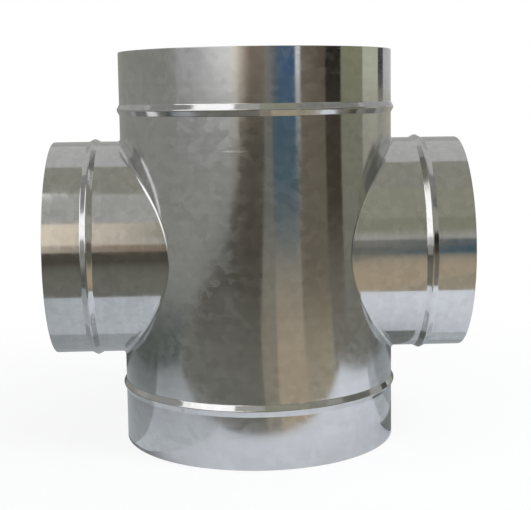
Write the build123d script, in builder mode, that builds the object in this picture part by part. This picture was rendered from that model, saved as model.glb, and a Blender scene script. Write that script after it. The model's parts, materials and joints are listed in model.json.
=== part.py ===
from build123d import *

import os
from math import atan2, degrees, tan

# A round duct cross rolled from thin galvanised sheet. An upright barrel carries two smaller
# side collars on one level axis, and the four open ends are spigots that slip into round duct.
# The two axes cross at the origin: the barrel runs along Z and the collars along X.

# Driving dimensions, in millimetres
main_duct_bore = 160.0      # bore of the duct that slides over the barrel's ends
branch_duct_bore = 125.0    # bore of the duct that slides over the collars
duct_play = 0.4             # radial room between a spigot and its duct
sheet = 0.6                 # thickness of the sheet
barrel_spigot = 29.5        # straight length from the barrel's rim to its bead
collar_spigot = 20.5        # straight length from a collar's rim to its bead
barrel_shoulder = 14.9      # barrel wall between a collar's crown and the bead
collar_stem = 11.5          # collar wall between the barrel and the bead, at the crown
bead_width = 7.0            # stop bead, measured along the wall
bead_height = 1.5           # stop bead, measured out from the wall
foot_bend = 2.0             # flare of a collar's foot onto the barrel, drawn as one bevel
neck_height = 5.0           # how far the barrel's drawn necks stand out of its wall
collar_fit = 0.1            # room between a collar and the barrel that it is dressed onto
lap_width = 8.0             # overlap of the sheet at a lengthwise seam
lap_clearance = 0.5         # room between the end of a collar's lap and the neck

# Sizes that follow from them
barrel_radius = main_duct_bore / 2 - duct_play
collar_radius = branch_duct_bore / 2 - duct_play
neck_radius = collar_radius - sheet - collar_fit
neck_crest = barrel_radius + neck_height
seat_radius = barrel_radius + collar_fit
barrel_bead = collar_radius + barrel_shoulder + bead_width / 2
barrel_rim = barrel_bead + bead_width / 2 + barrel_spigot
collar_bead = barrel_radius + collar_stem + bead_width / 2
collar_rim = collar_bead + bead_width / 2 + collar_spigot
collar_lap_start = neck_crest + lap_clearance
bead_slope = atan2(bead_height, bead_width / 2)

# Angles that the laps cover, seen along their tubes
barrel_lap = degrees(lap_width / barrel_radius)
collar_lap = degrees(lap_width / collar_radius)


def bead_points(middle, wall, inset):
    """The corners of a ridge bead as (along, out) pairs, on a wall line that far inside the skin."""
    foot = bead_width / 2 - inset * tan(bead_slope / 2)
    crest = wall + foot * tan(bead_slope)
    return [(middle - foot, wall), (middle, crest), (middle + foot, wall)]


def barrel_wall(inset):
    """Draws the barrel's wall line, from the bottom rim to the top one, that far inside the skin."""
    wall = barrel_radius - inset
    corners = [*bead_points(-barrel_bead, wall, inset), *bead_points(barrel_bead, wall, inset)]
    Polyline((wall, -barrel_rim), *[(out, along) for along, out in corners], (wall, barrel_rim))


def collar_wall(inset, start=0):
    """Draws a collar's wall line, from start along X out to the rim, that far inside the skin."""
    wall = collar_radius - inset
    Polyline((start, wall), *bead_points(collar_bead, wall, inset), (collar_rim, wall))


def barrel_half(inset):
    """The half section of a solid barrel with its beads, that far inside the skin."""
    wall = barrel_radius - inset
    with BuildSketch(Plane.XZ) as half:
        with BuildLine():
            barrel_wall(inset)
            Polyline((wall, barrel_rim), (0, barrel_rim), (0, -barrel_rim), (wall, -barrel_rim))
        make_face()
    return half.sketch


def collar_half(inset):
    """The half section of a solid right collar with its bead, that far inside the skin."""
    wall = collar_radius - inset
    with BuildSketch(Plane.XZ) as half:
        with BuildLine():
            collar_wall(inset)
            Polyline((collar_rim, wall), (collar_rim, 0), (0, 0), (0, wall))
        make_face()
    return half.sketch


# Barrel: one rolled sheet with two rolled beads, and two necks drawn out of its wall.
# The sheet is as thick in the necks as in the wall, and overlaps itself in a seam at the back.
with BuildPart() as neck_form:
    Cylinder(neck_radius, 2 * collar_rim, rotation=(0, 90, 0))
    Cylinder(neck_crest, 2 * barrel_rim, mode=Mode.INTERSECT)

with BuildPart() as barrel_cavity:
    revolve(barrel_half(sheet), axis=Axis.Z)
    Cylinder(neck_radius - sheet, 2 * collar_rim, rotation=(0, 90, 0))

with BuildPart() as barrel:
    revolve(barrel_half(0), axis=Axis.Z)
    add(neck_form.part)
    add(barrel_cavity.part, mode=Mode.SUBTRACT)
    with BuildSketch(Plane.XZ.rotated((0, 0, 90 - barrel_lap / 2))):
        with BuildLine():
            barrel_wall(sheet)
            barrel_wall(2 * sheet)
            for rim in (-barrel_rim, barrel_rim):
                Line((barrel_radius - sheet, rim), (barrel_radius - 2 * sheet, rim))
        make_face()
    revolve(axis=Axis.Z, revolution_arc=barrel_lap)
barrel.part.label = "barrel"

# Collars: a short rolled tube with one bead, slipped over the neck, its foot flared onto the
# barrel. The seam is underneath, and stops short of the neck that the tube is slipped over.
with BuildPart() as seat_form:
    Cylinder(seat_radius, 2 * barrel_rim)

with BuildPart() as collar_cavity:
    revolve(collar_half(sheet), axis=Axis.X)
    add(seat_form.part)

with BuildPart() as right_collar:
    revolve(collar_half(0), axis=Axis.X)
    add(seat_form.part)
    chamfer(right_collar.edges(Select.NEW), foot_bend)
    add(collar_cavity.part, mode=Mode.SUBTRACT)
    split(bisect_by=Plane.YZ)
    with BuildSketch(Plane.XZ.rotated((180 - collar_lap / 2, 0, 0))):
        with BuildLine():
            collar_wall(sheet, collar_lap_start)
            collar_wall(2 * sheet, collar_lap_start)
            for end in (collar_lap_start, collar_rim):
                Line((end, collar_radius - sheet), (end, collar_radius - 2 * sheet))
        make_face()
    revolve(axis=Axis.X, revolution_arc=collar_lap)
right_collar.part.label = "right_collar"

with BuildPart() as left_collar:
    mirror(right_collar.part, about=Plane.YZ)
left_collar.part.label = "left_collar"

os.makedirs("parts", exist_ok=True)
for piece in (barrel, right_collar, left_collar):
    export_step(piece.part, f"parts/{piece.part.label}.step")
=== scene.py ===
import json
from math import asin, atan2, cos, hypot, pi, radians, sin, sqrt, tau

import bmesh
import bpy
from mathutils import Matrix, Vector


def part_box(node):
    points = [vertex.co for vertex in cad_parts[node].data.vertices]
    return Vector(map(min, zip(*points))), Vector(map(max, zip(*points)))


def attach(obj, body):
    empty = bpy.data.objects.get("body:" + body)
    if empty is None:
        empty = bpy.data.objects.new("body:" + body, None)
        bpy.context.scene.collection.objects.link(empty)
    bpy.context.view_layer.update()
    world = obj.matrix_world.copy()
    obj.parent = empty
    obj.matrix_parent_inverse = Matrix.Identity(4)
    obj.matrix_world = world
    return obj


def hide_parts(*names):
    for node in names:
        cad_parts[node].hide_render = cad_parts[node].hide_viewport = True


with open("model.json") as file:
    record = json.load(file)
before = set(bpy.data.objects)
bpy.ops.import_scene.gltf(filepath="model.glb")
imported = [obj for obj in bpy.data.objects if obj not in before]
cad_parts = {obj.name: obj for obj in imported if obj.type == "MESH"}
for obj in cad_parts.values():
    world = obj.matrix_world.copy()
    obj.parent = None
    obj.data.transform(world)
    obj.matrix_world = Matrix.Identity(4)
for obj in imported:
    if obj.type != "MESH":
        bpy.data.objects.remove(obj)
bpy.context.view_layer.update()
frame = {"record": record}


# Barrel: the upright tube, rolled from one galvanised sheet and lapped in a spot-welded seam down its back.
# A rounded stop bead is rolled near each end, and a short neck is drawn out of the wall on each side, for
# the collars to slip over.
MM = 0.001
spigots = {mount["name"]: mount["dims"] for mount in frame["record"]["mounts"]}
barrel_radius = spigots["top_spigot"]["r_mm"] * MM
barrel_spigot = spigots["top_spigot"]["length_mm"] * MM
collar_radius = spigots["right_spigot"]["r_mm"] * MM
barrel_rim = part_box("barrel")[1].z
neck_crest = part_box("barrel")[1].x
sheet = 0.6 * MM
collar_fit = 0.1 * MM
neck_radius = collar_radius - sheet - collar_fit
neck_bend = 0.1 * MM
bead_width = 7.0 * MM
bead_height = 1.5 * MM
bead_bend = 1.3 * MM
lap_width = 8.0 * MM
lap_groove = 0.25 * MM
lap_edge = 0.2 * MM
weld_pitch = 24.0 * MM
barrel_bead = barrel_rim - barrel_spigot - bead_width / 2
body_end = barrel_bead - bead_width / 2


def spread(first, last, steps):
    """Evenly spaced values from first to last."""
    return [first + (last - first) * i / steps for i in range(steps + 1)]


def bead_section(middle, wall, steps=5):
    """Points across a rolled bead as (along, out, slope): straight flanks, round crest and round roots."""
    half, drop = bead_width / 2, bead_height - 2 * bead_bend
    sweep = atan2(drop, half) + asin(2 * bead_bend / hypot(half, drop))
    turns = spread(0, sweep, steps)
    root = [(bead_bend * sin(turn) - half, bead_bend * (1 - cos(turn)), -turn) for turn in turns]
    crest = [(-bead_bend * sin(turn), bead_height - bead_bend * (1 - cos(turn)), -turn)
             for turn in reversed(turns)]
    rise = root + crest
    fall = [(-along, out, -slope) for along, out, slope in rise[-2::-1]]
    return [(middle + along, wall + out, slope) for along, out, slope in rise + fall]


def rim_section(rim, wall, thick, steps=6):
    """Points round the cut edge of a sheet, from its outside to its inside, as (along, out, slope)."""
    half = thick / 2
    return [(rim - half * (1 - sin(turn)), wall - half * (1 - cos(turn)), turn)
            for turn in spread(0, pi, steps)]


def spigot_section(bead_middle, rim, wall, thick, steps=5):
    """Points along a beaded end, outside, round the rim and back inside, as (along, out, slope)."""
    plain = spread(bead_middle + bead_width / 2, rim - thick / 2, steps)[1:-1]
    skin = bead_section(bead_middle, wall) + [(along, wall, 0) for along in plain]
    lining = [(along - thick * sin(slope), out - thick * cos(slope), slope + pi)
              for along, out, slope in reversed(skin)]
    return skin + rim_section(rim, wall, thick) + lining


def start_sheet():
    """An empty skin whose corners carry a smooth normal, and whose faces carry the flat sheet's map."""
    skin = bmesh.new()
    return skin, skin.verts.layers.float_vector.new("smooth"), skin.loops.layers.uv.new("sheet")


def lay_strips(work, lines):
    """Adds strips of four-sided faces between neighbouring lines of (point, normal, map) corners."""
    skin, smooth, sheet_map = work
    laid = []
    for line in lines:
        corners = []
        for point, normal, place in line:
            corner = skin.verts.new(point)
            corner[smooth] = normal
            corners.append((corner, place))
        laid.append(corners)
    for line, after in zip(laid, laid[1:]):
        for corners in zip(line, line[1:], after[1:], after):
            face = skin.faces.new([corner for corner, place in corners])
            face.smooth = True
            for loop, (corner, place) in zip(face.loops, corners):
                loop[sheet_map].uv = place


def finish_sheet(work, name):
    """Welds the strips into one closed skin and makes it a piece that rides with the part."""
    skin, smooth, sheet_map = work
    weld_gap = 0.002 * MM
    bmesh.ops.remove_doubles(skin, verts=skin.verts, dist=weld_gap)
    bmesh.ops.recalc_face_normals(skin, faces=skin.faces)
    normals = [tuple(corner[smooth]) for corner in skin.verts]
    skin.verts.layers.float_vector.remove(smooth)
    mesh = bpy.data.meshes.new(name)
    skin.to_mesh(mesh)
    skin.free()
    mesh.normals_split_custom_set_from_vertices(normals)
    piece = bpy.data.objects.new(name, mesh)
    bpy.context.scene.collection.objects.link(piece)
    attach(piece, "root")
    return piece


lap_middle = pi / 2
lap_half = lap_width / 2 / barrel_radius
barrel_seam = lap_middle + lap_half
edge_turn = lap_edge / barrel_radius


def turn_apart(turn, other):
    """The angle between two turns round an axis, whichever way is shorter."""
    return abs((turn - other + pi) % tau - pi)


def barrel_corner(turn, along, out, slope):
    """A corner of the barrel, with its normal, left open at the lap's edges, and its place on the sheet."""
    outside = cos(slope) > 0
    at_seam = turn_apart(turn, barrel_seam) < 2 * edge_turn
    at_lap_edge = abs(turn_apart(turn, lap_middle) - lap_half) < 2 * edge_turn
    if at_seam and outside:
        out -= lap_groove
    outward = Vector((cos(turn), sin(turn), 0))
    upward = Vector((0, 0, 1))
    normal = outward * cos(slope) + upward * sin(slope)
    if at_seam or (at_lap_edge and not outside):
        normal = Vector()
    place = (barrel_radius * ((turn - barrel_seam) % tau), along)
    return outward * out + upward * along, normal, place


def barrel_thickness(turn):
    """How thick the wall is at a turn round the barrel: two sheets in the lap."""
    return 2 * sheet if turn_apart(turn, lap_middle) < lap_half else sheet


# Columns of faces round the barrel: a square patch round each neck, and upright strips at front and back.
patch_turn = radians(78)
patch_across = 88
patch_up = 56
patch_rings = 14
ring_crowding = 0.8
neck_bend_steps = 6
neck_rise_steps = 3
front_columns = 14
strip_half = pi / 2 - patch_turn
lap_turns = [side * lap_half + step * edge_turn for side in (-1, 1) for step in (-3, -1, 1, 3)]
plain_turns = [strip_half * share for share in (-1, -0.75, -0.5, -0.12, 0.12, 0.5, 0.75, 1)]
back_strip = sorted(lap_middle + turn for turn in lap_turns + plain_turns)
front_strip = spread(pi + patch_turn, tau - patch_turn, front_columns)
right_patch = spread(-patch_turn, patch_turn, patch_across)
left_patch = [pi + turn for turn in right_patch]
round_turns = sorted({round((turn - barrel_seam) % tau, 7)
                      for turn in back_strip + front_strip + right_patch + left_patch})
barrel_turns = [barrel_seam + turn for turn in round_turns] + [barrel_seam + round_turns[0] + tau]

work = start_sheet()
for way in (1, -1):
    lay_strips(work, [[barrel_corner(turn, way * along, out, way * slope) for along, out, slope
                       in spigot_section(barrel_bead, barrel_rim, barrel_radius, barrel_thickness(turn))]
                      for turn in barrel_turns])

levels = spread(-body_end, body_end, patch_up)
for strip in (back_strip, front_strip):
    for inside in (0, 1):
        walls = [(turn, barrel_radius - inside * barrel_thickness(turn)) for turn in strip]
        lay_strips(work, [[barrel_corner(turn, level, wall, inside * pi) for level in levels]
                          for turn, wall in walls])


def saddle_ball(turn, wall, tube, ball):
    """Centre of a ball that rolls in the corner between the upright wall and a level tube."""
    beside = (tube + ball) * cos(turn)
    return Vector((sqrt((wall + ball) ** 2 - beside ** 2), beside, (tube + ball) * sin(turn)))


def ball_sweep(centre, turn, ball, steps):
    """Points that the ball touches, from the wall to the tube, each with the way to the ball's centre."""
    from_wall = Vector((centre.x, centre.y, 0)).normalized()
    from_tube = Vector((0, cos(turn), sin(turn)))
    ways = [from_wall.slerp(from_tube, i / steps) for i in range(steps + 1)]
    return [(centre - ball * way, way) for way in ways]


def patch_border():
    """Corners round a patch as (turn round the barrel, level, turn round the neck), back to the first."""
    quarter = pi / 2
    lower = [(turn, -body_end) for turn in right_patch[:-1]]
    back = [(patch_turn, level) for level in levels[:-1]]
    upper = [(-turn, body_end) for turn in right_patch[:-1]]
    front = [(-patch_turn, -level) for level in levels[:-1]]
    border = []
    for number, side in enumerate((lower, back, upper, front)):
        start = quarter * (number - 1.5)
        border += [(turn, level, start + quarter * i / len(side)) for i, (turn, level) in enumerate(side)]
    return border + border[:1]


def side_turn(side, turn):
    """A turn round the barrel from the middle of its right side, mirrored for the left side."""
    return turn if side > 0 else pi - turn


def neck_line(side, turn, level, neck_turn):
    """One line of corners from a patch's border to the neck's crest outside, and back inside."""
    centre = saddle_ball(neck_turn, barrel_radius, neck_radius, neck_bend)
    hole_turn = atan2(centre.y, centre.x)
    shares = [1 - (1 - i / patch_rings) ** ring_crowding for i in range(patch_rings, 0, -1)]
    reach = [(side_turn(side, hole_turn + (turn - hole_turn) * share), centre.z + (level - centre.z) * share)
             for share in shares]
    out_line = [barrel_corner(across, height, barrel_radius, 0) for across, height in reach]
    in_line = [barrel_corner(across, height, barrel_radius - barrel_thickness(across), pi)
               for across, height in reach]
    hole_place = (barrel_radius * ((side_turn(side, hole_turn) - barrel_seam) % tau), centre.z)
    for line, depth, sign in ((out_line, 0, 1), (in_line, sheet, -1)):
        tube = neck_radius - depth
        crest = sqrt(neck_crest ** 2 - (tube * cos(neck_turn)) ** 2)
        bend = ball_sweep(centre, neck_turn, neck_bend + depth, neck_bend_steps)
        rise = [(Vector((x, tube * cos(neck_turn), tube * sin(neck_turn))), bend[-1][1])
                for x in spread(centre.x, crest, neck_rise_steps)[1:]]
        for point, way in bend + rise:
            drawn = (point - bend[0][0]).length
            place = (hole_place[0] - side * drawn * cos(neck_turn), hole_place[1] - drawn * sin(neck_turn))
            flip = Vector((side, 1, 1))
            normal = Vector() if point == rise[-1][0] else sign * way * flip
            line.append((point * flip, normal, place))
    return out_line + in_line[::-1]


for side in (1, -1):
    lay_strips(work, [neck_line(side, *corner) for corner in patch_border()])
barrel = finish_sheet(work, "barrel_sheet")
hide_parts("barrel")


def place_node(tree, kind, inputs=None, **settings):
    """Adds a node, with its settings, and its inputs as values or as sockets to link from."""
    node = tree.nodes.new(kind)
    for name, value in settings.items():
        setattr(node, name, value)
    for name, value in (inputs or {}).items():
        if isinstance(value, bpy.types.NodeSocket):
            tree.links.new(value, node.inputs[name])
        else:
            node.inputs[name].default_value = value
    return node


def start_effect(name, inputs, outputs):
    """A shader node group with named sockets, and its two end nodes."""
    tree = bpy.data.node_groups.new(name, "ShaderNodeTree")
    for socket, kind in inputs.items():
        tree.interface.new_socket(socket, in_out="INPUT", socket_type=kind)
    for socket in outputs:
        tree.interface.new_socket(socket, in_out="OUTPUT", socket_type="NodeSocketFloat")
    return tree, tree.nodes.new("NodeGroupInput").outputs, tree.nodes.new("NodeGroupOutput").inputs


def math_node(tree, operation, *values):
    """A math node's result."""
    return place_node(tree, "ShaderNodeMath", dict(enumerate(values)), operation=operation).outputs[0]


def ramp_node(tree, value, low, high, to_low=0.0, to_high=1.0):
    """A value taken smoothly from one range to another."""
    names = ("Value", "From Min", "From Max", "To Min", "To Max")
    return place_node(tree, "ShaderNodeMapRange", dict(zip(names, (value, low, high, to_low, to_high))),
                      interpolation_type="SMOOTHSTEP").outputs["Result"]


def noise_node(tree, vector, scale, detail=2.0, roughness=0.5):
    """Soft noise over the sheet's map."""
    inputs = {"Vector": vector, "Scale": scale, "Detail": detail, "Roughness": roughness}
    return place_node(tree, "ShaderNodeTexNoise", inputs).outputs[0]


def stretch_node(tree, vector, across, along, angle=0.0):
    """The sheet's map, turned and stretched, for marks that run one way."""
    return place_node(tree, "ShaderNodeMapping", {
        "Vector": vector, "Rotation": (0, 0, angle), "Scale": (across, along, 1)}).outputs[0]


def zinc_flakes():
    """Spangle: the zinc freezes in flat crystals, each with its own tone and its own fern-like streaks."""
    tree, given, result = start_effect(
        "zinc flakes", {"Sheet": "NodeSocketVector", "Flake Size": "NodeSocketFloat"}, ("Tone", "Fern"))
    inverse = math_node(tree, "DIVIDE", 1.0, given["Flake Size"])
    flat = place_node(tree, "ShaderNodeVectorMath", {"Vector": given["Sheet"], "Scale": inverse},
                      operation="SCALE").outputs[0]
    drift = place_node(tree, "ShaderNodeTexNoise",
                       {"Vector": flat, "Scale": 1.7, "Detail": 3.0}).outputs["Color"]
    ragged = place_node(tree, "ShaderNodeVectorMath", {0: drift, 1: (0.9, 0.9, 0.0), 2: flat},
                        operation="MULTIPLY_ADD").outputs[0]
    crystal = place_node(tree, "ShaderNodeTexVoronoi", {"Vector": ragged, "Scale": 1.0},
                         voronoi_dimensions="2D").outputs["Color"]
    parts = place_node(tree, "ShaderNodeSeparateColor", {"Color": crystal}).outputs
    angle = math_node(tree, "MULTIPLY", parts["Green"], tau)
    turned = place_node(tree, "ShaderNodeVectorRotate", {"Vector": flat, "Angle": angle},
                        rotation_type="Z_AXIS").outputs[0]
    fern = noise_node(tree, stretch_node(tree, turned, across=2.0, along=18.0), 1.0, 3.0)
    tree.links.new(parts["Red"], result["Tone"])
    tree.links.new(fern, result["Fern"])
    return tree


def mill_lines():
    """Lines that the rolls leave in the strip, fine ones and broad ones, all running round the tube."""
    tree, given, result = start_effect("mill lines", {"Sheet": "NodeSocketVector"}, ("Fine", "Broad"))
    fine = noise_node(tree, stretch_node(tree, given["Sheet"], across=25, along=2600), 1.0, 2.0)
    broad = noise_node(tree, stretch_node(tree, given["Sheet"], across=6, along=260), 1.0, 2.0)
    tree.links.new(fine, result["Fine"])
    tree.links.new(broad, result["Broad"])
    return tree


def handling_marks():
    """Dull smudges from hands and oil, and short fine scratches that run all ways."""
    tree, given, result = start_effect("handling marks", {"Sheet": "NodeSocketVector"},
                                       ("Smudge", "Scratch"))
    smudge = ramp_node(tree, noise_node(tree, given["Sheet"], 26, 5.0, 0.6), 0.45, 0.75)
    scratch = 0.0
    for number, angle in enumerate((0.25, 1.1, 2.2)):
        shifted = place_node(tree, "ShaderNodeVectorMath",
                             {0: given["Sheet"], 1: (number, number, 0)}).outputs[0]
        hair = noise_node(tree, stretch_node(tree, shifted, across=45, along=1500, angle=angle), 1.0, 1.0)
        patchy = ramp_node(tree, noise_node(tree, shifted, 30, 1.0), 0.45, 0.6)
        drawn = math_node(tree, "MULTIPLY", ramp_node(tree, hair, 0.69, 0.75), patchy)
        scratch = math_node(tree, "MAXIMUM", drawn, scratch)
    tree.links.new(smudge, result["Smudge"])
    tree.links.new(scratch, result["Scratch"])
    return tree


def spot_welds():
    """A row of round pits down the middle of a lap, where the two sheets are welded together."""
    tree, given, result = start_effect(
        "spot welds", {"Sheet": "NodeSocketVector", "Seam": "NodeSocketFloat", "Pitch": "NodeSocketFloat"},
        ("Pit", "Halo"))
    weld_radius = 2.4 * MM
    axes = place_node(tree, "ShaderNodeSeparateXYZ", {"Vector": given["Sheet"]}).outputs
    across = math_node(tree, "SUBTRACT", axes["X"], given["Seam"])
    steps = math_node(tree, "DIVIDE", axes["Y"], given["Pitch"])
    nearest = math_node(tree, "SUBTRACT", steps, math_node(tree, "ROUND", steps))
    along = math_node(tree, "MULTIPLY", nearest, given["Pitch"])
    away = math_node(tree, "SQRT", math_node(tree, "ADD", math_node(tree, "MULTIPLY", across, across),
                                             math_node(tree, "MULTIPLY", along, along)))
    tree.links.new(ramp_node(tree, away, weld_radius * 0.7, weld_radius, 1.0, 0.0), result["Pit"])
    tree.links.new(ramp_node(tree, away, weld_radius * 0.8, weld_radius * 2.0, 1.0, 0.0), result["Halo"])
    return tree


def rub_mark():
    """A short level streak where something has rubbed the sheet, broken up along its length; its brightness
    is a painted highlight.
    """
    tree, given, result = start_effect(
        "rub mark", {"Sheet": "NodeSocketVector", "Place": "NodeSocketVector"}, ("Streak",))
    streak_long = 18 * MM
    streak_wide = 1.6 * MM
    offset = place_node(tree, "ShaderNodeVectorMath", {0: given["Sheet"], 1: given["Place"]},
                        operation="SUBTRACT").outputs[0]
    shrunk = stretch_node(tree, offset, 2 / streak_long, 2 / streak_wide)
    away = place_node(tree, "ShaderNodeVectorMath", {0: shrunk}, operation="LENGTH").outputs["Value"]
    broken = noise_node(tree, stretch_node(tree, given["Sheet"], across=160, along=2200), 1.0, 2.0)
    edge = ramp_node(tree, away, 0.5, 1.0, 1.0, 0.0)
    streak = math_node(tree, "MULTIPLY", edge, ramp_node(tree, broken, 0.3, 0.55))
    tree.links.new(streak, result["Streak"])
    return tree


flakes_effect = zinc_flakes()
lines_effect = mill_lines()
marks_effect = handling_marks()
welds_effect = spot_welds()
rub_effect = rub_mark()


def galvanised_finish(name, bright, dull, flake_size, smooth, rough, grain, seam, pitch, rub=None):
    """Bright galvanised steel: zinc crystals over mill lines, with smudges, scratches and weld spots."""
    finish = bpy.data.materials.new(name)
    finish.use_nodes = True
    tree = finish.node_tree
    surface = tree.nodes["Principled BSDF"]
    flat = place_node(tree, "ShaderNodeUVMap", uv_map="sheet").outputs["UV"]
    flakes = place_node(tree, "ShaderNodeGroup", node_tree=flakes_effect)
    flakes.inputs["Flake Size"].default_value = flake_size
    lines = place_node(tree, "ShaderNodeGroup", node_tree=lines_effect)
    marks = place_node(tree, "ShaderNodeGroup", node_tree=marks_effect)
    welds = place_node(tree, "ShaderNodeGroup", node_tree=welds_effect)
    welds.inputs["Seam"].default_value = seam
    welds.inputs["Pitch"].default_value = pitch
    for effect in (flakes, lines, marks, welds):
        tree.links.new(flat, effect.inputs["Sheet"])
    flakes, lines, marks, welds = flakes.outputs, lines.outputs, marks.outputs, welds.outputs

    tone = math_node(tree, "MULTIPLY", lines["Broad"], 0.5)
    for mark, weight in ((flakes["Tone"], 0.5), (marks["Smudge"], -0.25), (welds["Halo"], -0.5)):
        tone = math_node(tree, "MULTIPLY_ADD", mark, weight, tone)
    colour = place_node(tree, "ShaderNodeMix", {0: tone, 6: (*dull, 1), 7: (*bright, 1)}, data_type="RGBA")
    # The rubbed streak is real wear; its lighter colour is a painted highlight.
    if rub:
        rub_highlight_colour = (0.92, 0.92, 0.91)
        streak = place_node(tree, "ShaderNodeGroup", {"Sheet": flat, "Place": (*rub, 0)},
                            node_tree=rub_effect).outputs["Streak"]
        colour = place_node(tree, "ShaderNodeMix", {0: streak, 6: colour.outputs[2], 7: (*rub_highlight_colour, 1)},
                            data_type="RGBA")
    tree.links.new(colour.outputs[2], surface.inputs["Base Color"])
    surface.inputs["Metallic"].default_value = 1.0
    surface.inputs["Anisotropic"].default_value = grain
    surface.inputs["Anisotropic Rotation"].default_value = 0.25
    tangent = place_node(tree, "ShaderNodeTangent", direction_type="UV_MAP", uv_map="sheet")
    tree.links.new(tangent.outputs["Tangent"], surface.inputs["Tangent"])

    matt = math_node(tree, "MULTIPLY", flakes["Tone"], 0.3)
    for mark, weight in ((flakes["Fern"], 0.6), (marks["Smudge"], 0.5), (marks["Scratch"], 0.4)):
        matt = math_node(tree, "MULTIPLY_ADD", mark, weight, matt)
    tree.links.new(ramp_node(tree, matt, 0.15, 1.1, smooth, rough), surface.inputs["Roughness"])

    wave_scale = 22
    wave_height = 0.05 * MM
    line_height = 0.0006 * MM
    flake_height = 0.0006 * MM
    scratch_depth = 0.004 * MM
    weld_depth = 0.15 * MM
    height = math_node(tree, "MULTIPLY", noise_node(tree, flat, wave_scale, 1.0), wave_height)
    for mark, rise in ((lines["Fine"], line_height), (flakes["Fern"], flake_height),
                       (marks["Scratch"], -scratch_depth), (welds["Pit"], -weld_depth)):
        height = math_node(tree, "MULTIPLY_ADD", mark, rise, height)
    bump = place_node(tree, "ShaderNodeBump", {"Height": height, "Strength": 1.0, "Distance": 1.0})
    tree.links.new(bump.outputs["Normal"], surface.inputs["Normal"])
    return finish


rub_turn = radians(260.7)
rub_level = 59 * MM
rub_across = barrel_radius * ((rub_turn - barrel_seam) % tau)
barrel.data.materials.append(galvanised_finish(
    "barrel galvanised", bright=(0.705, 0.705, 0.705), dull=(0.58, 0.58, 0.575), flake_size=4 * MM,
    smooth=0.09, rough=0.17, grain=0.8, seam=barrel_radius * (tau - lap_half), pitch=weld_pitch,
    rub=(rub_across, rub_level)))


# Collars: short rolled tubes of smaller bore, one each side, slipped over the barrel's necks and lapped
# underneath. Each has a rounded stop bead, and its foot is flared down onto the barrel all round the saddle.
foot_bend = 2.0 * MM
foot_steps = 10
stem_steps = 4
spigot_steps = 4
foot_gap = 0.03 * MM
lap_clearance = 0.5 * MM
collar_spigot = spigots["right_spigot"]["length_mm"] * MM
collar_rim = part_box("right_collar")[1].x
collar_bead = collar_rim - collar_spigot - bead_width / 2
collar_lap_start = neck_crest + lap_clearance
collar_lap_middle = -pi / 2
collar_lap_half = lap_width / 2 / collar_radius
collar_seam = collar_lap_middle + collar_lap_half
collar_edge = lap_edge / collar_radius
seat = barrel_radius + foot_gap


def collar_corner(side, turn, along, out, slope):
    """A corner of a collar, with its normal, left open at the lap's edges, and its place on the sheet."""
    outside = cos(slope) > 0
    at_seam = turn_apart(turn, collar_seam) < 2 * collar_edge
    at_lap_edge = abs(turn_apart(turn, collar_lap_middle) - collar_lap_half) < 2 * collar_edge
    if at_seam and outside:
        out -= lap_groove
    normal = Vector((side * sin(slope), cos(turn) * cos(slope), sin(turn) * cos(slope)))
    if at_seam or (at_lap_edge and not outside):
        normal = Vector()
    place = (collar_radius * ((turn - collar_seam) % tau), along)
    return Vector((side * along, out * cos(turn), out * sin(turn))), normal, place


def collar_line(side, turn):
    """One line of corners along a collar, from its foot to its spigot, round the rim and back inside."""
    doubled = turn_apart(turn, collar_lap_middle) < collar_lap_half
    thick = 2 * sheet if doubled else sheet
    centre = saddle_ball(turn, seat, collar_radius, foot_bend)
    bend = ball_sweep(centre, turn, foot_bend, foot_steps)
    flip = Vector((side, 1, 1))
    line = []
    for point, way in bend:
        run = (point - bend[-1][0]).length
        place = (collar_radius * ((turn - collar_seam) % tau), centre.x - run)
        line.append((point * flip, way * flip, place))
    bead_start = collar_bead - bead_width / 2
    stem = spread(centre.x, bead_start, stem_steps)[1:-1]
    line += [collar_corner(side, turn, along, collar_radius, 0) for along in stem]
    line += [collar_corner(side, turn, *spot)
             for spot in spigot_section(collar_bead, collar_rim, collar_radius, thick, spigot_steps)]
    bore = collar_radius - sheet
    seat_along = sqrt(seat ** 2 - (bore * cos(turn)) ** 2)
    line.append(collar_corner(side, turn, collar_lap_start + lap_edge, collar_radius - thick, pi))
    line.append(collar_corner(side, turn, collar_lap_start - lap_edge, bore, pi))
    line.append(collar_corner(side, turn, seat_along, bore, pi))
    line.append(line[0])
    return line


collar_steps = 200
collar_laps = [side * collar_lap_half + step * collar_edge for side in (-1, 1) for step in (-3, -1, 1, 3)]
plain_share = spread(3.5 * collar_edge + 2 * collar_lap_half, tau - 3.5 * collar_edge, collar_steps)
collar_turns = sorted({round((collar_lap_middle + turn - collar_seam) % tau, 7) for turn in collar_laps}
                      | {round((turn - 2 * collar_lap_half) % tau, 7) for turn in plain_share})
collar_turns = [collar_seam + turn for turn in collar_turns] + [collar_seam + collar_turns[0] + tau]

collar_finish = galvanised_finish(
    "collar galvanised", bright=(0.72, 0.72, 0.715), dull=(0.58, 0.58, 0.575), flake_size=3.5 * MM,
    smooth=0.08, rough=0.17, grain=0.2, seam=collar_radius * (tau - collar_lap_half), pitch=weld_pitch / 2)
for side, node in ((1, "right_collar"), (-1, "left_collar")):
    work = start_sheet()
    lay_strips(work, [collar_line(side, turn) for turn in collar_turns])
    collar = finish_sheet(work, f"{node}_sheet")
    collar.data.materials.append(collar_finish)
    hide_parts(node)


# Studio: a white floor under a white sky and soft lamps, with glowing boards, cloths and mats that only the
# metal mirrors, as painted reflections. The boards stand in a wide ring round the part, under a ceiling. The
# part stands on a white sheet, and the cloths lie on the ground all round that sheet.
floor_level = -barrel_rim


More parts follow.
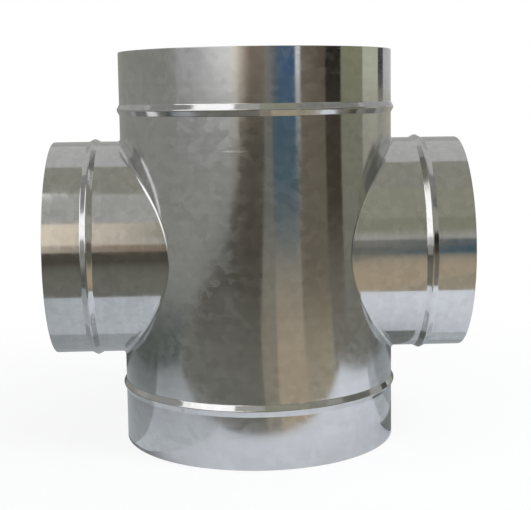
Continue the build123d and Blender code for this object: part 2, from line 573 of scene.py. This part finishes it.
def add_reflection_board(name, lines, first, last=None, fade=None):
    """A glowing board of strips between lines of points, seen only by the metal as a painted reflection.

    It may pass to a last colour, from its left to its right or, where a fade is given, with the distance.
    """
    count = len(lines[0])
    faces = [(row * count + i, row * count + i + 1, (row + 1) * count + i + 1, (row + 1) * count + i)
             for row in range(len(lines) - 1) for i in range(count - 1)]
    mesh = bpy.data.meshes.new(name)
    mesh.from_pydata([point for line in lines for point in line], [], faces)
    board = bpy.data.objects.new(name, mesh)
    bpy.context.scene.collection.objects.link(board)
    board.visible_camera = False
    board.visible_diffuse = False
    board.visible_shadow = False

    paint = bpy.data.materials.new(name)
    paint.use_nodes = True
    tree = paint.node_tree
    tree.nodes.remove(tree.nodes["Principled BSDF"])
    glow = place_node(tree, "ShaderNodeEmission", {"Color": (*first, 1), "Strength": 1.0})
    if last:
        spot = place_node(tree, "ShaderNodeNewGeometry").outputs["Position"]
        if fade:
            away = place_node(tree, "ShaderNodeVectorMath", {0: spot}, operation="LENGTH").outputs["Value"]
            share = ramp_node(tree, away, *fade)
        else:
            across = place_node(tree, "ShaderNodeSeparateXYZ", {"Vector": spot}).outputs["X"]
            share = ramp_node(tree, across, lines[0][0][0], lines[0][-1][0])
        blend = place_node(tree, "ShaderNodeMix", {0: share, 6: (*first, 1), 7: (*last, 1)},
                           data_type="RGBA")
        tree.links.new(blend.outputs[2], glow.inputs["Color"])
    tree.links.new(glow.outputs[0], tree.nodes["Material Output"].inputs["Surface"])
    mesh.materials.append(paint)


def ring_line(start, end, reach, level):
    """Points at a level, between two bearings from the front, to the right, round the barrel's axis."""
    bearings = [radians(bearing) for bearing in spread(start, end, 2 + int(end - start) // 4)]
    reaches = [reach(bearing) if callable(reach) else reach for bearing in bearings]
    return [(away * sin(bearing), -away * cos(bearing), level) for bearing, away in zip(bearings, reaches)]


# Boards on the ring, from left to right, with a slit that lets the white sky through beside the blue one.
board_ring = 4.0
horizon = 0.08
board_top = 0.6
for name, start, end, *colours in (
        ("left_board", -180, -68, (0.31, 0.31, 0.285)),
        ("bright_board", -68, -20, (0.40, 0.40, 0.41), (0.92, 0.93, 0.92)),
        ("cream_board", -20, -4, (1.0, 0.93, 0.82), (0.27, 0.205, 0.15)),
        ("warm_board", -4, 7, (0.25, 0.20, 0.155)),
        ("slate_board", 7, 16.5, (0.24, 0.24, 0.22), (0.11, 0.13, 0.145)),
        ("blue_board", 16.5, 31, (0.05, 0.12, 0.25)),
        ("brown_board", 35, 57, (0.19, 0.155, 0.12), (0.11, 0.085, 0.06)),
        ("black_flag", 57, 72, (0.015, 0.013, 0.01)),
        ("olive_board", 72, 97, (0.27, 0.28, 0.18)),
        ("pale_board", 97, 121, (0.56, 0.58, 0.46)),
        ("edge_flag", 121, 132, (0.06, 0.06, 0.06)),
        ("back_board", 132, 180, (0.55, 0.55, 0.56))):
    add_reflection_board(name, [ring_line(start, end, board_ring, level) for level in (horizon, board_top)], *colours)

# Above them a panel left of the front that glows brighter than white, a painted highlight source for the
# beads and the collars' feet, plain walls, coves that lean in, and a ceiling.
wall_top = 2.4
cove_top = 3.4
cove_ring = 1.7
for name, start, end, *colours in (
        ("left_wall", -110, -72, (0.36, 0.36, 0.35)),
        ("bright_wall", -72, -16, (1.5, 1.5, 1.5)),
        ("cream_wall", -16, -10.5, (0.95, 0.84, 0.68)),
        ("warm_wall", -10.5, -4.5, (0.95, 0.84, 0.68), (0.50, 0.46, 0.40)),
        ("olive_wall", -4.5, 45, (0.43, 0.43, 0.39), (0.30, 0.30, 0.23), (4.05, 4.25)),
        ("grey_wall", 45, 75, (0.40, 0.40, 0.37)),
        ("right_wall", 75, 105, (0.18, 0.18, 0.16)),
        ("back_wall", 105, 250, (0.42, 0.42, 0.41))):
    add_reflection_board(name, [ring_line(start, end, board_ring, level) for level in (board_top, wall_top)], *colours)
# The highlight cove glows brighter than white: a painted highlight source for the beads.
for name, start, end, colour in (
        ("left_cove", -110, -66, (0.31, 0.31, 0.30)),
        ("highlight_cove", -66, -24, (1.5, 1.5, 1.5)),
        ("warm_cove", -24, 3, (0.46, 0.46, 0.44)),
        ("olive_cove", 3, 45, (0.34, 0.34, 0.27)),
        ("right_cove", 45, 105, (0.28, 0.28, 0.26)),
        ("back_cove", 105, 250, (0.56, 0.56, 0.55))):
    foot, head = ring_line(start, end, board_ring, wall_top), ring_line(start, end, cove_ring, cove_top)
    add_reflection_board(name, [foot, head], colour)
ceiling_seam = 0.7
for name, edges, colour in (("front_ceiling", (-cove_ring, ceiling_seam), (0.33, 0.33, 0.285)),
                            ("back_ceiling", (ceiling_seam, cove_ring), (0.56, 0.56, 0.55))):
    add_reflection_board(name, [[(x, y, cove_top) for x in (-cove_ring, cove_ring)] for y in edges], colour)

# Cloths from the white sheet's edge out to the ring and up to the horizon; the grey and pale ones darken
# next to the sheet as painted shade on the ground beside and behind the part. A painted dark reflection lies
# across the front ones, and darker mats on the sheet under and beside the part paint its shadow there for
# the metal.
cloth_level = floor_level + 1 * MM
sheet_front, sheet_back, sheet_left, sheet_right = 0.14, 0.085, 0.225, 0.25


def sheet_edge(bearing):
    """How far the edge of the white sheet is from the barrel's axis at a bearing."""
    front, right = cos(bearing), sin(bearing)
    edges = ((front, sheet_front), (-front, sheet_back), (right, sheet_right), (-right, sheet_left))
    return min(depth / share for share, depth in edges if share > 0)


# The grey and pale cloths are darker next to the sheet: painted shade on the ground beside and behind the
# part.
for name, start, end, near, far, fade in (
        ("grey_ground_painted_shade", -180, -4, (0.105, 0.12, 0.11), (0.31, 0.315, 0.295), (0.32, 0.75)),
        ("slate_cloth", -4, 12, (0.31, 0.285, 0.225), (0.18, 0.185, 0.17), (0.2, 1.5)),
        ("tan_cloth", 12, 33, (0.48, 0.40, 0.29), (0.085, 0.135, 0.165), (0.2, 1.5)),
        ("umber_cloth", 33, 57, (0.41, 0.365, 0.275), (0.17, 0.15, 0.115), (0.2, 0.8)),
        ("shade_cloth", 57, 72, (0.22, 0.205, 0.17), (0.065, 0.055, 0.04), (0.3, 1.5)),
        ("olive_cloth", 72, 97, (0.22, 0.22, 0.19), (0.24, 0.235, 0.19), (0.3, 1.5)),
        ("pale_ground_painted_shade", 97, 180, (0.17, 0.17, 0.16), (0.40, 0.39, 0.33), (0.3, 1.0))):
    ends = [ring_line(start, end, board_ring, level) for level in (cloth_level, horizon)]
    add_reflection_board(name, [ring_line(start, end, sheet_edge, cloth_level), *ends], near, far, fade)
# A dark strip across the front cloths, darker with the distance: a painted dark reflection in the metal.
overlay_level = cloth_level + 1 * MM
dark_reflection_edges = ((-0.30, 0.01, sheet_front), (-0.48, 0.0, 0.45), (-0.47, 0.05, 1.0), (-1.0, 0.38, 3.85))
dark_reflection_strip = [[(x, -depth, overlay_level) for x in (left, right)] for left, right, depth in dark_reflection_edges]
dark_reflection_strip.append([(x, y, horizon) for x, y, level in dark_reflection_strip[-1]])
add_reflection_board("painted_dark_reflection", dark_reflection_strip, (0.20, 0.20, 0.175), (0.09, 0.082, 0.066), (0.15, 0.8))
# Mats darker than the lit floor, seen only by the metal: painted shadow of the part on the sheet under and
# beside it.
for name, left, right, front, back, *colours in (
        ("left_mat", -0.26, -0.065, -0.14, -0.03, (0.36, 0.385, 0.40), (0.58, 0.62, 0.66)),
        ("shaded_mat", -0.26, -0.065, -0.03, 0.15, (0.20, 0.22, 0.22), (0.40, 0.43, 0.45)),
        ("grey_mat", -0.065, 0.10, -0.02, 0.3, (0.20, 0.215, 0.21)),
        ("right_mat", 0.10, 0.26, -0.01, 0.03, (0.50, 0.54, 0.575)),
        ("far_mat", 0.10, 0.26, 0.03, 0.15, (0.36, 0.39, 0.41))):
    add_reflection_board(name, [[(x, y, overlay_level) for x in (left, right)] for y in (front, back)], *colours)

floor_half = 12.0
floor_mesh = bpy.data.meshes.new("floor")
floor_corners = [(x, y, floor_level) for x, y in ((-floor_half, -floor_half), (floor_half, -floor_half),
                                                  (floor_half, floor_half), (-floor_half, floor_half))]
floor_mesh.from_pydata(floor_corners, [], [(0, 1, 2, 3)])
floor = bpy.data.objects.new("floor", floor_mesh)
bpy.context.scene.collection.objects.link(floor)

floor_paint = bpy.data.materials.new("floor white")
floor_paint.use_nodes = True
tree = floor_paint.node_tree
tree.nodes.remove(tree.nodes["Principled BSDF"])
path = place_node(tree, "ShaderNodeLightPath").outputs
spot = place_node(tree, "ShaderNodeNewGeometry").outputs["Position"]
away = place_node(tree, "ShaderNodeVectorMath", {0: spot}, operation="LENGTH").outputs["Value"]
matt_white = place_node(tree, "ShaderNodeBsdfDiffuse", {"Color": (0.78, 0.82, 0.89, 1)})
plain_white = place_node(tree, "ShaderNodeEmission", {"Color": (1, 1, 1, 1), "Strength": 1.0})
whitening = ramp_node(tree, away, 0.12, 0.45, 0.9, 1.0)
camera_share = math_node(tree, "MULTIPLY", path["Is Camera Ray"], whitening)
floor_mix = place_node(tree, "ShaderNodeMixShader", {0: camera_share, 1: matt_white.outputs[0],
                                                    2: plain_white.outputs[0]})
tree.links.new(floor_mix.outputs[0], tree.nodes["Material Output"].inputs["Surface"])
floor_mesh.materials.append(floor_paint)

sky_light = 0.18
sky = bpy.data.worlds.new("sky")
sky.use_nodes = True
bpy.context.scene.world = sky
tree = sky.node_tree
path = place_node(tree, "ShaderNodeLightPath").outputs
seen = math_node(tree, "MAXIMUM", path["Is Camera Ray"], path["Is Glossy Ray"])
seen = math_node(tree, "MAXIMUM", seen, path["Is Transmission Ray"])
tree.links.new(ramp_node(tree, seen, 0.0, 1.0, sky_light, 1.0), tree.nodes["Background"].inputs["Strength"])
tree.nodes["Background"].inputs["Color"].default_value = (1, 1, 1, 1)


def add_lamp(name, place, size, power):
    """A square soft lamp aimed at the part, which lights the floor and doesn't mirror in the metal."""
    lamp = bpy.data.lights.new(name, "AREA")
    lamp.size = size
    lamp.energy = power
    holder = bpy.data.objects.new(name, lamp)
    holder.location = place
    holder.rotation_euler = (-Vector(place)).to_track_quat("-Z", "Y").to_euler()
    holder.visible_glossy = False
    bpy.context.scene.collection.objects.link(holder)


add_lamp("top_lamp", (0.1, -0.2, 1.1), 0.8, 5)
add_lamp("key_lamp", (0.55, -0.38, 0.62), 0.3, 5.5)
add_lamp("fill_lamp", (-0.6, -1.1, 0.8), 0.8, 1.6)


# Camera: a little above the middle of the part, at the photograph's angle, with a slight roll, and a small
# shift of the lens for the photograph's framing.
camera_place = Vector((-0.0192, -0.6672, 0.0883))
camera_yaw = radians(-2.09)
camera_pitch = radians(-6.784)
camera_roll = radians(0.81)
lens = bpy.data.cameras.new("camera")
lens.sensor_width = 36.0
lens.lens = 76.26
lens.shift_y = -0.05
camera = bpy.data.objects.new("camera", lens)
aim = (Matrix.Rotation(camera_yaw, 4, "Z") @ Matrix.Rotation(pi / 2 + camera_pitch, 4, "X")
       @ Matrix.Rotation(-camera_roll, 4, "Z"))
camera.matrix_world = Matrix.Translation(camera_place) @ aim
bpy.context.scene.collection.objects.link(camera)
bpy.context.scene.camera = camera
bpy.context.scene.view_settings.view_transform = "Standard"
